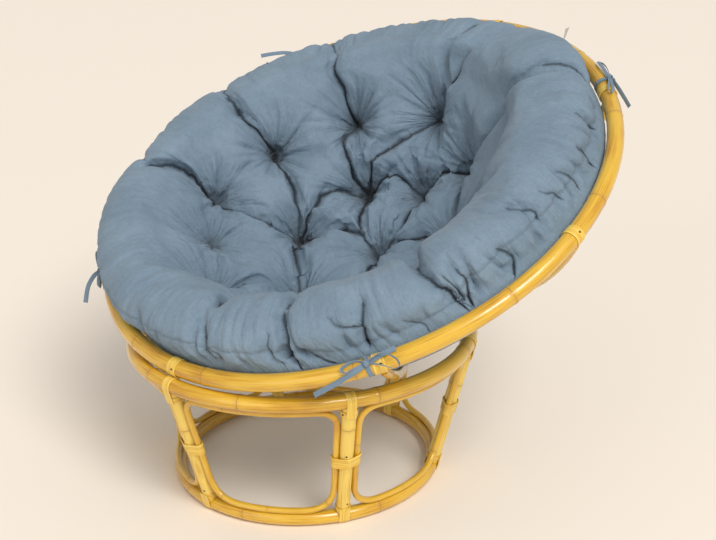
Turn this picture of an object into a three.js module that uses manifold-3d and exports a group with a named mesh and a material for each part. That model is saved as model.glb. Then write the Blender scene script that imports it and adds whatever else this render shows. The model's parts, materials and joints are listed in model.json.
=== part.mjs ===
// Rattan bowl chair: a lashed pole base, a bowl of bent poles that tilts in it, and a tufted cushion.
// Units are millimetres, +Z is up, and the chair faces -Y.
import * as THREE from 'three';
import { mergeVertices } from 'three/addons/utils/BufferGeometryUtils.js';
import Module from 'manifold-3d';

const wasm = await Module();
wasm.setup();

// Clearances and bindings
const seatGap = 0.3;
const wrapThickness = 1.2;
const cutOverrun = 5;

// Bowl rim, and the sizes that follow it as shares of its radius
const rimRadius = 517;
const footRingShare = 0.49;
const topRingShare = 0.63;
const ribBendShare = 1.2;

// Base rings
const footRingRadius = rimRadius * footRingShare;
const footPole = 26;
const topRingRadius = rimRadius * topRingShare;
const topRingHeight = 281;
const topPole = 29;

// Posts and the thin hoop in each bay
const postCount = 6;
const postTopPole = 28;
const postFootPole = 25;
const hoopPole = 12;
const hoopTopCorner = 42;
const hoopFootCorner = 52;

// Bindings of the base
const midBandHeight = 24;
const topLashWidth = 18;
const topCollarDrop = 6;
const topCollarHeight = 11;
const footLashWidth = 20;
const footCollarRise = 4;
const footCollarHeight = 9;

// Bowl frame
const bowlTilt = THREE.MathUtils.degToRad(27.2);
const rimPole = 32;
const ribCount = 8;
const ribBend = rimRadius * ribBendShare;
const ribPole = 19;
const hubRadius = 110;
const hubPole = 19;
const rimBandWidth = 21;

// Cushion: crest above the rim plane, thickness at two places, and how the tufts draw it in
const cushionEdgeInset = 2;
const cushionCrest = 86;
const cushionCrestInset = 80;
const cushionRollThickness = 145;
const cushionCentreThickness = 112;
const cushionSideBulge = 8;
const cushionSlip = 30;
const seamRise = 28;
const tuftDepth = 62;
const tuftSpread = 52;
const creaseDepth = 20;

// Places of the tufts: polar angle from straight down and turn from the low side, in degrees
const middleTufts = [[4, 250], [22, 280], [21.5, 229], [19, 190], [21.5, 40], [21.5, 340]];
const leftTufts = [[38.3, 223.5], [41, 255.5], [43, 285], [40, 308], [41, 335]];
const rightTufts = [[37, 189], [28, 159], [41, 133], [19, 111], [41, 95], [36, 62], [38, 30], [40, 3]];

// Turns of the folds over the roll, and its droop at the back
const foldTurns = [3, 30, 62, 95, 128, 160, 190, 223, 252, 280, 308, 335];
const rollDroop = 36;
const droopTurn = THREE.MathUtils.degToRad(208);
const underAngles = [8, 17, 26, 35, 43, 50];
const overAngles = [57, 52, 47, 41, 36, 31, 26, 21.5, 16, 10, 5];
const sideRiseShare = 0.45;
const shoulderRiseShare = 0.85;
const shoulderOutShare = 0.6;

// Ties, each beside a rib's end, and tag
const tieRibs = [1, 3, 5, 7];
const tieOffsets = [-18, 27, 72, 18];
const tapeWidth = 11;
const tapeThickness = 1;
const tieCordWidth = 6;
const knotWidth = 16;
const bowLoopLength = 46;
const bowLoopWidth = 22;
const bowTailLength = 96;
const tagWidth = 14;
const tagHeight = 26;
const tagThickness = 0.6;
const tagTurn = 152;

// Facets
const ringSteps = 54;
const rimSteps = 64;
const hubSteps = 24;
const hoopSteps = 36;
const ribSteps = 12;
const poleSides = 8;
const thinSides = 6;
const wrapSides = 12;
const sectorsPerFold = 4;
const bowLoopSteps = 6;
const bowTailSteps = 3;
const tieCordSides = 4;

// Sizes that follow
const footRingHeight = footPole / 2 + seatGap + wrapThickness;
const lean = Math.atan2(topRingRadius - footRingRadius, topRingHeight - footRingHeight);
const slant = Math.hypot(topRingRadius - footRingRadius, topRingHeight - footRingHeight);
const lashOuter = topPole / 2 + seatGap + wrapThickness;
const bowlReach = ribBend + ribPole / 2;
const centreToRing = bowlReach + seatGap + lashOuter;
const bowlCentreHeight = topRingHeight + Math.sqrt(centreToRing ** 2 - topRingRadius ** 2);
const rimSleeve = rimPole / 2 + seatGap + wrapThickness;
const rimDrop = Math.sqrt((bowlReach - rimSleeve) ** 2 - rimRadius ** 2);

const rattan = { color: 0xdca23a, roughness: 0.35, metalness: 0 };
const peel = { color: 0xe6c062, roughness: 0.45, metalness: 0 };
const cotton = { color: 0x78899a, roughness: 0.9, metalness: 0 };
const white = { color: 0xf2f0ea, roughness: 0.8, metalness: 0 };

// Point on the cone that joins the two base rings, at a turn from the front and a way up the slant
function conePoint(turn, along) {
  const radius = footRingRadius + along * Math.sin(lean);
  const height = footRingHeight + along * Math.cos(lean);
  return new THREE.Vector3(radius * Math.sin(turn), -radius * Math.cos(turn), height);
}

// Point of the bowl about its centre of curvature: polar angle from straight down, turn from the low side
function bowlPoint(polar, turn, radius) {
  const out = radius * Math.sin(polar);
  return new THREE.Vector3(out * Math.sin(turn), -out * Math.cos(turn), -radius * Math.cos(polar));
}

function merged(geometry) {
  geometry.deleteAttribute('normal');
  geometry.deleteAttribute('uv');
  return mergeVertices(geometry);
}

function solid(geometry) {
  const clean = merged(geometry);
  const vertProperties = new Float32Array(clean.attributes.position.array);
  const triVerts = new Uint32Array(clean.index.array);
  return new wasm.Manifold(new wasm.Mesh({ numProp: 3, vertProperties, triVerts }));
}

function shell(manifold) {
  const mesh = manifold.getMesh();
  const geometry = new THREE.BufferGeometry();
  geometry.setAttribute('position', new THREE.BufferAttribute(new Float32Array(mesh.vertProperties), 3));
  geometry.setIndex(new THREE.BufferAttribute(new Uint32Array(mesh.triVerts), 1));
  return geometry;
}

function piece(name, geometry, finish) {
  const clean = merged(geometry);
  clean.computeVertexNormals();
  const mesh = new THREE.Mesh(clean, new THREE.MeshStandardMaterial(finish));
  mesh.name = name;
  return mesh;
}

// Ring of round pole about +Z, with a joint between facets at the front
function ring(radius, poleRadius, steps, sides, height) {
  const geometry = new THREE.TorusGeometry(radius, poleRadius, sides, steps);
  geometry.rotateZ(-Math.PI / 2);
  geometry.translate(0, 0, height);
  return geometry;
}

// Straight pole between two points, thicker or thinner at its top
function pole(from, to, footRadius, topRadius, sides) {
  const run = new THREE.Vector3().subVectors(to, from);
  const geometry = new THREE.CylinderGeometry(topRadius, footRadius, run.length(), sides);
  const turn = new THREE.Quaternion().setFromUnitVectors(new THREE.Vector3(0, 1, 0), run.clone().normalize());
  geometry.applyQuaternion(turn);
  const middle = new THREE.Vector3().addVectors(from, to).multiplyScalar(0.5);
  geometry.translate(middle.x, middle.y, middle.z);
  return geometry;
}

// Bent pole with closed ends along a curve
function bentPole(curve, poleRadius, steps, sides) {
  const section = new THREE.Shape();
  for (let i = 0; i < sides; i += 1) {
    const angle = (2 * Math.PI * i) / sides;
    const x = poleRadius * Math.cos(angle);
    const y = poleRadius * Math.sin(angle);
    if (i === 0) section.moveTo(x, y);
    else section.lineTo(x, y);
  }
  return new THREE.ExtrudeGeometry(section, { steps, extrudePath: curve, curveSegments: 1 });
}

// Base

function postRadiusAt(along) {
  return THREE.MathUtils.lerp(postFootPole, postTopPole, along / slant) / 2;
}

const footRingCut = solid(ring(footRingRadius, footPole / 2 + seatGap, ringSteps, poleSides, footRingHeight));
const topRingCut = solid(ring(topRingRadius, topPole / 2 + seatGap, ringSteps, poleSides, topRingHeight));

// A post's ends stop short of the rings' middles, so each straddles its ring as a notch
function post(turn) {
  const from = footPole / 4;
  const to = slant - topPole / 4;
  const start = conePoint(turn, from);
  const end = conePoint(turn, to);
  const body = pole(start, end, postRadiusAt(from), postRadiusAt(to), poleSides);
  return shell(solid(body).subtract(footRingCut).subtract(topRingCut));
}

// Closed hoop that lies on the cone between two posts, as a rounded outline unrolled on the cone
class HoopCurve extends THREE.Curve {
  constructor(turn) {
    super();
    this.turn = turn;
    this.outline = hoopOutline();
  }

  getPoint(t, target = new THREE.Vector3()) {
    const flat = this.outline.getPointAt(t);
    const radius = footRingRadius + flat.y * Math.sin(lean);
    return target.copy(conePoint(this.turn + flat.x / radius, flat.y));
  }
}

function hoopSideAt(along) {
  const radius = footRingRadius + along * Math.sin(lean);
  const offset = postRadiusAt(along) + seatGap + hoopPole / 2;
  return radius * (Math.PI / postCount - Math.asin(offset / radius));
}

function hoopOutline() {
  const low = footPole / 2 + seatGap + hoopPole / 2;
  const high = slant - topPole / 2 - seatGap - hoopPole / 2;
  const corners = [
    [-1, low, hoopFootCorner],
    [1, low, hoopFootCorner],
    [1, high, hoopTopCorner],
    [-1, high, hoopTopCorner],
  ];
  const points = corners.map(([side, along]) => new THREE.Vector2(side * hoopSideAt(along), along));
  const outline = new THREE.Path();
  for (let i = 0; i < points.length; i += 1) {
    const corner = points[i];
    const before = points.at(i - 1);
    const after = points[(i + 1) % points.length];
    const reach = corners[i][2];
    const start = before.clone().sub(corner).setLength(reach).add(corner);
    const end = after.clone().sub(corner).setLength(reach).add(corner);
    if (i === 0) outline.moveTo(start.x, start.y);
    else outline.lineTo(start.x, start.y);
    outline.quadraticCurveTo(corner.x, corner.y, end.x, end.y);
  }
  outline.closePath();
  return outline;
}

function hoop(turn) {
  return new THREE.TubeGeometry(new HoopCurve(turn), hoopSteps, hoopPole / 2, thinSides, true);
}

// Convex outline round a set of circles, each given as x, y and radius
function wrapOutline(circles, grow) {
  const points = [];
  for (const [x, y, radius] of circles) {
    const reach = (radius + grow) / Math.cos(Math.PI / wrapSides);
    for (let i = 0; i < wrapSides; i += 1) {
      const angle = (2 * Math.PI * (i + 0.5)) / wrapSides;
      points.push(new THREE.Vector2(x + reach * Math.cos(angle), y + reach * Math.sin(angle)));
    }
  }
  points.sort((a, b) => a.x - b.x || a.y - b.y);
  const lower = halfHull(points);
  const upper = halfHull(points.reverse());
  return [...lower.slice(0, -1), ...upper.slice(0, -1)];
}

function halfHull(points) {
  const hull = [];
  for (const point of points) {
    while (hull.length > 1 && turnsRight(hull[hull.length - 2], hull[hull.length - 1], point)) hull.pop();
    hull.push(point);
  }
  return hull;
}

function turnsRight(a, b, c) {
  return (b.x - a.x) * (c.y - a.y) - (b.y - a.y) * (c.x - a.x) <= 0;
}

// Frame at a place on the cone: x runs round the base, y points inward, z runs up the slant
function slantFrame(turn, along) {
  const round = new THREE.Vector3(Math.cos(turn), Math.sin(turn), 0);
  const up = conePoint(turn, slant).sub(conePoint(turn, 0)).normalize();
  const inward = new THREE.Vector3().crossVectors(up, round);
  const frame = new THREE.Matrix4().makeBasis(round, inward, up);
  frame.setPosition(conePoint(turn, along));
  return frame;
}

// Binding that holds two hoops against their post at mid-height
function midBand(turn) {
  const along = slant / 2;
  const radius = footRingRadius + along * Math.sin(lean);
  const offset = postRadiusAt(along) + seatGap + hoopPole / 2;
  const drawnIn = radius - Math.sqrt(radius ** 2 - offset ** 2);
  const postRadius = postRadiusAt(along + midBandHeight);
  const side = (sign) => [sign * offset, drawnIn * Math.cos(lean), hoopPole / 2];
  const circles = [[0, 0, postRadius], side(-1), side(1)];
  const outline = new THREE.Shape(wrapOutline(circles, seatGap * 2 + wrapThickness));
  outline.holes.push(new THREE.Path(wrapOutline(circles, seatGap * 2)));
  const geometry = new THREE.ExtrudeGeometry(outline, { depth: midBandHeight, bevelEnabled: false });
  geometry.translate(0, 0, -midBandHeight / 2);
  return geometry.applyMatrix4(slantFrame(turn, along));
}

// Lashing over a ring and along a post: a saddle of flat strips held down by a collar round the post
function lashing(turn, ringRadius, ringHeight, ringPole, width, legEnd, legRadius) {
  const outer = ringPole / 2 + seatGap + wrapThickness;
  const reach = outer / Math.cos(Math.PI / wrapSides);
  const legHalf = legRadius + seatGap + wrapThickness;
  const legUp = new THREE.Vector2(Math.sin(lean), Math.cos(lean)).multiplyScalar(Math.sign(legEnd));
  const legSide = new THREE.Vector2(legUp.y, -legUp.x);
  const outline = new THREE.Shape();
  const arcPoints = wrapSides / 2;
  const first = legEnd > 0 ? 0.5 : arcPoints + 0.5;
  for (let i = 0; i < arcPoints; i += 1) {
    const angle = (-2 * Math.PI * (first + i)) / wrapSides;
    const x = reach * Math.cos(angle);
    const y = reach * Math.sin(angle);
    if (i === 0) outline.moveTo(x, y);
    else outline.lineTo(x, y);
  }
  const far = legUp.clone().multiplyScalar(Math.abs(legEnd));
  outline.lineTo(far.x - legSide.x * legHalf, far.y - legSide.y * legHalf);
  outline.lineTo(far.x + legSide.x * legHalf, far.y + legSide.y * legHalf);
  outline.closePath();
  const block = new THREE.ExtrudeGeometry(outline, { depth: width, bevelEnabled: false });
  block.translate(0, 0, -width / 2);
  const outward = new THREE.Vector3(Math.sin(turn), -Math.cos(turn), 0);
  const up = new THREE.Vector3(0, 0, 1);
  const frame = new THREE.Matrix4().makeBasis(outward, up, new THREE.Vector3().crossVectors(outward, up));
  frame.setPosition(outward.clone().multiplyScalar(ringRadius).setZ(ringHeight));
  return block.applyMatrix4(frame);
}

function collar(turn, from, to, radius) {
  return pole(conePoint(turn, from), conePoint(turn, to), radius, radius, poleSides);
}

function postCut(turn) {
  const start = conePoint(turn, 0);
  const end = conePoint(turn, slant);
  return solid(pole(start, end, postFootPole / 2 + seatGap, postTopPole / 2 + seatGap, poleSides));
}

function topLashing(turn) {
  const near = slant - topPole / 2 - topCollarDrop;
  const far = near - topCollarHeight;
  const legRadius = postTopPole / 2;
  const saddle = lashing(turn, topRingRadius, topRingHeight, topPole, topLashWidth, far - slant, legRadius);
  const band = collar(turn, far, near, postTopPole / 2 + seatGap + wrapThickness);
  return shell(solid(saddle).add(solid(band)).subtract(topRingCut).subtract(postCut(turn)));
}

function footLashing(turn) {
  const near = footPole / 2 + footCollarRise;
  const far = near + footCollarHeight;
  const legRadius = postFootPole / 2;
  const saddle = lashing(turn, footRingRadius, footRingHeight, footPole, footLashWidth, far, legRadius);
  const band = collar(turn, near, far, postRadiusAt(far) + seatGap + wrapThickness);
  return shell(solid(saddle).add(solid(band)).subtract(footRingCut).subtract(postCut(turn)));
}

function makeBase() {
  const base = new THREE.Group();
  const footRing = ring(footRingRadius, footPole / 2, ringSteps, poleSides, footRingHeight);
  const topRing = ring(topRingRadius, topPole / 2, ringSteps, poleSides, topRingHeight);
  base.add(piece('base_foot_ring', footRing, rattan), piece('base_top_ring', topRing, rattan));
  for (let i = 0; i < postCount; i += 1) {
    const turn = (2 * Math.PI * i) / postCount;
    const bayTurn = turn + Math.PI / postCount;
    base.add(piece(`post_${i + 1}`, post(turn), rattan));
    base.add(piece(`hoop_${i + 1}`, hoop(bayTurn), rattan));
    base.add(piece(`mid_binding_${i + 1}`, midBand(turn), peel));
    base.add(piece(`top_lashing_${i + 1}`, topLashing(turn), peel));
    base.add(piece(`foot_lashing_${i + 1}`, footLashing(turn), peel));
  }
  return base;
}

// Bowl frame, modelled about its centre of curvature with the rim plane level

const hubPolar = Math.asin(hubRadius / ribBend);
const rimPolar = Math.atan2(rimRadius, rimDrop);
const hubHeight = -ribBend * Math.cos(hubPolar);
const hubCut = solid(ring(hubRadius, hubPole / 2 + seatGap, hubSteps, poleSides, hubHeight));
const rimCut = solid(ring(rimRadius, rimSleeve + seatGap, rimSteps, poleSides, -rimDrop));

// A rib's centreline: its two ends stop short of the rings' middles, so each laps round its ring as a notch
class RibCurve extends THREE.Curve {
  constructor(turn) {
    super();
    this.turn = turn;
    this.from = hubPolar + hubPole / 4 / ribBend;
    this.to = rimPolar - rimSleeve / 2 / ribBend;
  }

  getPoint(t, target = new THREE.Vector3()) {
    return target.copy(bowlPoint(THREE.MathUtils.lerp(this.from, this.to, t), this.turn, ribBend));
  }
}

function rib(turn) {
  const body = solid(bentPole(new RibCurve(turn), ribPole / 2, ribSteps, thinSides));
  return shell(body.subtract(hubCut).subtract(rimCut));
}

// Band round the rim, as a slice of a hollow ring
function rimBand(turn, width, inner, outer) {
  const reach = 2 * outer + cutOverrun;
  const slice = new THREE.BoxGeometry(width, reach, reach);
  slice.translate(0, -rimRadius, -rimDrop);
  slice.rotateZ(turn);
  const outside = solid(ring(rimRadius, outer, rimSteps, poleSides, -rimDrop));
  const inside = solid(ring(rimRadius, inner, rimSteps, poleSides, -rimDrop));
  return solid(slice).intersect(outside).subtract(inside);
}

function makeBowlFrame() {
  const bowl = new THREE.Group();
  const rim = ring(rimRadius, rimPole / 2, rimSteps, poleSides, -rimDrop);
  const hub = ring(hubRadius, hubPole / 2, hubSteps, poleSides, hubHeight);
  bowl.add(piece('bowl_rim', rim, rattan), piece('bowl_hub_ring', hub, rattan));
  for (let i = 0; i < ribCount; i += 1) {
    const turn = (2 * Math.PI * i) / ribCount;
    bowl.add(piece(`rib_${i + 1}`, rib(turn), rattan));
    const band = rimBand(turn, rimBandWidth, rimPole / 2 + seatGap, rimSleeve);
    bowl.add(piece(`rim_binding_${i + 1}`, shell(band), peel));
  }
  return bowl;
}

// Cushion

const cushionSeat = ribBend - ribPole / 2 - seatGap;
const cushionEdge = rimRadius - rimSleeve - seatGap - cushionEdgeInset;
const cushionCrestRadius = rimRadius - cushionCrestInset;

// Places on the section from the middle of the underside, round the edge, to the middle of the top
function cushionSection() {
  const under = underAngles.map((degrees) => {
    const polar = THREE.MathUtils.degToRad(degrees);
    return [cushionSeat * Math.sin(polar), -cushionSeat * Math.cos(polar)];
  });
  const seam = seamRise - rimDrop;
  const crest = cushionCrest - rimDrop;
  const side = [
    [cushionEdge, -rimDrop - rimPole / 3],
    [cushionEdge, -rimDrop + rimPole / 3],
    [cushionEdge + cushionSideBulge, seam],
    [cushionEdge + cushionSideBulge / 2, THREE.MathUtils.lerp(seam, crest, sideRiseShare)],
    [
      THREE.MathUtils.lerp(cushionCrestRadius, cushionEdge, shoulderOutShare),
      THREE.MathUtils.lerp(seam, crest, shoulderRiseShare),
    ],
    [cushionCrestRadius, crest],
  ];
  const over = overAngles.map((degrees) => {
    const polar = THREE.MathUtils.degToRad(degrees);
    const share = Math.sin(((degrees / overAngles[0]) * Math.PI) / 2) ** 2;
    const radius = cushionSeat - THREE.MathUtils.lerp(cushionCentreThickness, cushionRollThickness, share);
    return [radius * Math.sin(polar), -radius * Math.cos(polar)];
  });
  return { under, side, over };
}

// Sideways slip of the cushion, none at the rim plane and the whole of it above half the crest
function slipAt(height) {
  return cushionSlip * THREE.MathUtils.smoothstep(height, -rimDrop, cushionCrest / 2 - rimDrop);
}

// Turns of the sectors, so that every fold over the roll lies on one
function sectorTurns() {
  const turns = [];
  foldTurns.forEach((from, i) => {
    const next = foldTurns[(i + 1) % foldTurns.length];
    const to = next > from ? next : next + 360;
    for (let j = 0; j < sectorsPerFold; j += 1) {
      turns.push(THREE.MathUtils.degToRad(THREE.MathUtils.lerp(from, to, j / sectorsPerFold)));
    }
  });
  return turns;
}

function tuftPoints() {
  const level = cushionSeat - cushionCentreThickness;
  const places = [...middleTufts, ...leftTufts, ...rightTufts];
  return places.map(([polar, turn]) => {
    return bowlPoint(THREE.MathUtils.degToRad(polar), THREE.MathUtils.degToRad(turn), level);
  });
}

// How far a place on top is drawn towards the frame by its tufts
function tuftPull(point, tufts) {
  let pull = 0;
  for (const tuft of tufts) {
    pull = Math.max(pull, Math.exp(-((point.distanceTo(tuft) / tuftSpread) ** 2)));
  }
  return pull * tuftDepth;
}

// How far the roll droops at a turn, where share is 1 at its crest
function droopAt(turn, share) {
  return rollDroop * Math.max(0, Math.cos(turn - droopTurn)) ** 2 * share;
}

function makeCushion() {
  const turns = sectorTurns();
  const tufts = tuftPoints();
  const { under, side, over } = cushionSection();
  const rings = [];
  const place = (out, height, turn) => new THREE.Vector3(out * Math.sin(turn), -out * Math.cos(turn), height);
  under.forEach(([out, height]) => rings.push(turns.map((turn) => place(out, height, turn))));
  side.forEach(([out, height], j) => {
    const drawn = j > 2 ? creaseDepth : 0;
    const rise = Math.max(0, height + rimDrop - seamRise) / (cushionCrest - seamRise);
    rings.push(turns.map((turn, i) => {
      const share = Math.cos((Math.PI * (i % sectorsPerFold)) / sectorsPerFold) ** 2;
      const point = place(out - (drawn * share) / 2, height - drawn * share, turn);
      point.x -= slipAt(height);
      point.z -= droopAt(turn, rise);
      return point;
    }));
  });
  const top = (out, height, turn) => {
    const point = place(out, height, turn);
    const outward = point.clone().normalize();
    const share = THREE.MathUtils.smoothstep(out, cushionCrestRadius / 2, cushionCrestRadius);
    point.addScaledVector(outward, tuftPull(point, tufts));
    point.x -= slipAt(point.z);
    point.z -= droopAt(turn, share);
    return point;
  };
  over.forEach(([out, height]) => rings.push(turns.map((turn) => top(out, height, turn))));
  const low = new THREE.Vector3(0, 0, -cushionSeat);
  const high = top(0, cushionCentreThickness - cushionSeat, 0);
  return ringedBody(low, rings, high);
}

// Closed body from stacked rings of points, with a point at each end
function ringedBody(low, rings, high) {
  const count = rings[0].length;
  const points = [low, ...rings.flat(), high];
  const last = points.length - 1;
  const index = [];
  for (let i = 0; i < count; i += 1) {
    const next = (i + 1) % count;
    index.push(0, 1 + next, 1 + i);
    for (let j = 0; j + 1 < rings.length; j += 1) {
      const a = 1 + j * count;
      const b = a + count;
      index.push(a + i, a + next, b + next, a + i, b + next, b + i);
    }
    const top = 1 + (rings.length - 1) * count;
    index.push(last, top + i, top + next);
  }
  const geometry = new THREE.BufferGeometry().setFromPoints(points);
  geometry.setIndex(index);
  return geometry;
}

// Ties: a band of tape round the rim, a knot, two bow loops and two tails

function tie(turn) {
  const bandInner = rimPole / 2 + seatGap;
  const bandOuter = bandInner + tapeThickness;
  const band = rimBand(turn, tapeWidth, bandInner, bandOuter);
  const knotCentre = new THREE.Vector3(0, bandOuter + knotWidth / 4, 0);
  const knot = new THREE.IcosahedronGeometry(knotWidth / 2, 0);
  knot.translate(knotCentre.x, knotCentre.y, knotCentre.z);
  const frame = new THREE.Matrix4().makeRotationZ(turn + Math.PI);
  frame.setPosition(bowlPoint(rimPolar, turn, Math.hypot(rimRadius, rimDrop)));
  let bow = solid(knot);
  for (const side of [-1, 1]) {
    bow = bow.add(solid(bowLoop(knotCentre, side))).add(solid(bowTail(knotCentre, side)));
  }
  const placed = shell(bow).applyMatrix4(frame);
  const keepClear = solid(ring(rimRadius, bandInner, rimSteps, poleSides, -rimDrop));
  return shell(band.add(solid(placed)).subtract(keepClear));
}

function bowLoop(start, side) {
  const at = (x, y, z) => new THREE.Vector3(side * x, y, z).add(start);
  const points = [
    at(0, 0, 0),
    at(bowLoopLength / 2, bowLoopWidth / 6, bowLoopWidth / 2),
    at(bowLoopLength, bowLoopWidth / 4, 0),
    at(bowLoopLength / 2, bowLoopWidth / 6, -bowLoopWidth / 2),
    at(0, 0, 0),
  ];
  return bentPole(new THREE.CatmullRomCurve3(points), tieCordWidth / 2, bowLoopSteps, tieCordSides);
}

function bowTail(start, side) {
  const at = (x, y, z) => new THREE.Vector3(side * x, y, z).add(start);
  const points = [
    at(0, 0, 0),
    at(bowTailLength / 3, knotWidth / 2, -bowTailLength / 6),
    at((bowTailLength * 2) / 3, knotWidth / 2, -bowTailLength / 2),
  ];
  return bentPole(new THREE.CatmullRomCurve3(points), tieCordWidth / 2, bowTailSteps, tieCordSides);
}

// Tag that stands on the cushion's seam at the back
function tag() {
  const turn = THREE.MathUtils.degToRad(tagTurn);
  const geometry = new THREE.BoxGeometry(tagWidth, tagThickness, tagHeight);
  const out = cushionEdge + cushionSideBulge + seatGap + tagThickness / 2;
  const seam = seamRise - rimDrop;
  geometry.rotateZ(turn);
  geometry.translate(out * Math.sin(turn) - slipAt(seam), -out * Math.cos(turn), seam + tagHeight / 2);
  return geometry;
}

const chair = new THREE.Group();
const bowl = new THREE.Group();
bowl.position.set(0, 0, bowlCentreHeight);
bowl.rotation.x = bowlTilt;
bowl.add(makeBowlFrame(), piece('cushion', makeCushion(), cotton));
tieRibs.forEach((ribIndex, i) => {
  const turn = (2 * Math.PI * ribIndex) / ribCount + tieOffsets[i] / rimRadius;
  bowl.add(piece(`cushion_tie_${i + 1}`, tie(turn), cotton));
});
bowl.add(piece('cushion_tag', tag(), white));
chair.add(makeBase(), bowl);

// The origin is the middle of the underside of the whole chair's box
chair.updateMatrixWorld(true);
const box = new THREE.Box3().setFromObject(chair, true);
chair.position.set(-(box.min.x + box.max.x) / 2, -(box.min.y + box.max.y) / 2, -box.min.z);

export default chair;
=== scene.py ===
# %% [markdown]
# # A rattan bowl chair
# A round bowl of bent rattan poles rests, tilted, in a lashed pole base, and a thick tufted
# cushion is tied into it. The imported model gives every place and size. This script dresses it.

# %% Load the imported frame
import json
import math

import bpy
import numpy as np
from mathutils import Matrix, Vector
from mathutils.kdtree import KDTree


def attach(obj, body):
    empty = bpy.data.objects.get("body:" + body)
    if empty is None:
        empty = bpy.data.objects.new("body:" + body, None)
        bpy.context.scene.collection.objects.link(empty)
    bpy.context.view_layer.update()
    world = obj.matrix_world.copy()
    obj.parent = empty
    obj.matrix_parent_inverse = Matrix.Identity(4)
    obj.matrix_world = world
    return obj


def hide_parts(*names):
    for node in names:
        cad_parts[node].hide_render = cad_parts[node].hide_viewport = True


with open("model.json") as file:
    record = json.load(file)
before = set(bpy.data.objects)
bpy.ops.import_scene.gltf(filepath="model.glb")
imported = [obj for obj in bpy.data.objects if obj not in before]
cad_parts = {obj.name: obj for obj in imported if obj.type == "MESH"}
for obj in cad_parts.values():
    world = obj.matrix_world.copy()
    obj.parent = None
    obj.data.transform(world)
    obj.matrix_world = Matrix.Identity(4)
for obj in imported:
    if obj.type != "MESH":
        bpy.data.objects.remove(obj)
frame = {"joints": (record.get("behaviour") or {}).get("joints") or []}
bpy.ops.object.select_all(action="DESELECT")
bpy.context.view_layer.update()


def rounded(values):
    return tuple(round(float(x), 3) for x in values)


# %% [markdown]
# ## Camera
# The camera stands to the chair's front right, a little above the cushion, with a slight roll.
# Its place was found by fitting the rim and both base rings, so it is set before any modelling.

# %% Set the camera
camera_place = Vector((1.6668, -1.7212, 1.2531))
camera_target = Vector((0.0801, -0.0656, 0.4039))
camera_roll = math.radians(-1.46)

bpy.ops.object.camera_add(location=camera_place)
camera = bpy.context.object
camera.rotation_euler = (camera_target - camera_place).to_track_quat("-Z", "Y").to_euler()
camera.rotation_euler.rotate_axis("Z", camera_roll)
camera.data.lens = 64.1
camera.data.sensor_width = 36
camera.data.clip_end = 60
bpy.context.scene.camera = camera
print("camera", rounded(camera.location))

# %% [markdown]
# ## Sizes
# These are the real sizes of the poles, in metres. The bowl is part of a sphere, so its centre
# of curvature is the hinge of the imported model, and everything on the bowl is placed from it.
# Play is the small gap left between pieces that touch, and the rim seat is the depth from the rim's
# middle to the outer face of the ribs.

# %% Name the sizes
hinge = Vector(frame["joints"][0]["pos_m"])
bowl_tilt = math.radians(27.2)
rim_radius, rim_thick = 0.517, 0.032
rib_bend, rib_thick = 0.6204, 0.019
hub_radius, hub_thick = 0.110, 0.019
top_radius, top_height, top_thick = 0.32571, 0.281, 0.029
foot_radius, foot_height, foot_thick = 0.25333, 0.0145, 0.026
post_top_thick, post_foot_thick, hoop_thick = 0.028, 0.025, 0.012
play, rim_seat = 0.0003, 0.0175
rim_drop = math.sqrt((rib_bend + rib_thick / 2 - rim_seat) ** 2 - rim_radius**2)
rim_polar = math.atan2(rim_radius, rim_drop)
hub_polar = math.asin(hub_radius / rib_bend)
lean = math.atan2(top_radius - foot_radius, top_height - foot_height)
slant = math.hypot(top_radius - foot_radius, top_height - foot_height)
base_place = Matrix.Translation((0, hinge.y, 0))
bowl_place = Matrix.Translation(hinge) @ Matrix.Rotation(bowl_tilt, 4, "X")
leaning = Matrix.Rotation(lean, 4, "Y")
print("lean, slant and rim drop", rounded((lean, slant, rim_drop)))

# %% [markdown]
# Some small measures are taken again and again: a turn in degrees, a place on a ring counted from
# the chair's front, the length along a path, the distance to a spot, and weights that fall away
# like a bell or stay between 0 and 1.

# %% Make the small measures
def turned(degrees, axis):
    return Matrix.Rotation(math.radians(degrees), 4, axis)


def ring_spot(radius, turn, height=0.0):
    return (radius * math.sin(turn), -radius * math.cos(turn), height)


def direction(vector):
    return vector / np.linalg.norm(vector)


def length_along(path):
    return np.concatenate([[0], np.cumsum(np.linalg.norm(np.diff(path, axis=0), axis=1))])


def gaps_to(spots, spot):
    return np.linalg.norm(spots - spot, axis=1)


def bell(gap, width):
    return np.exp(-((gap / width) ** 2))


def unit(values):
    return np.clip(values, 0, 1)


print("measures ready")

# %% [markdown]
# ## Shader arithmetic
# A finish is a sum of patterns. Writing the sums as Python expressions keeps them readable, so
# one small class wraps a socket, and each operator adds the Math node it stands for.

# %% Wrap sockets and node making
class Wire:
    """One output socket of a finish, which can be used in arithmetic."""

    def __init__(self, finish, socket):
        self.finish, self.socket = finish, socket

    def math(self, operation, first, second, clamp=False):
        settings = {"operation": operation, "use_clamp": clamp}
        return self.finish.add("ShaderNodeMath", settings, {0: first, 1: second})

    def __add__(self, other):
        return self.math("ADD", self, other)

    def __sub__(self, other):
        return self.math("SUBTRACT", self, other)

    def __rsub__(self, other):
        return self.math("SUBTRACT", other, self)

    def __mul__(self, other):
        return self.math("MULTIPLY", self, other)

    def __pow__(self, other):
        return self.math("POWER", self, other)

    def __abs__(self):
        return self.math("ABSOLUTE", self, 0.0)

    def held(self):
        """Held between 0 and 1."""
        return self.math("ADD", self, 0.0, clamp=True)


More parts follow.
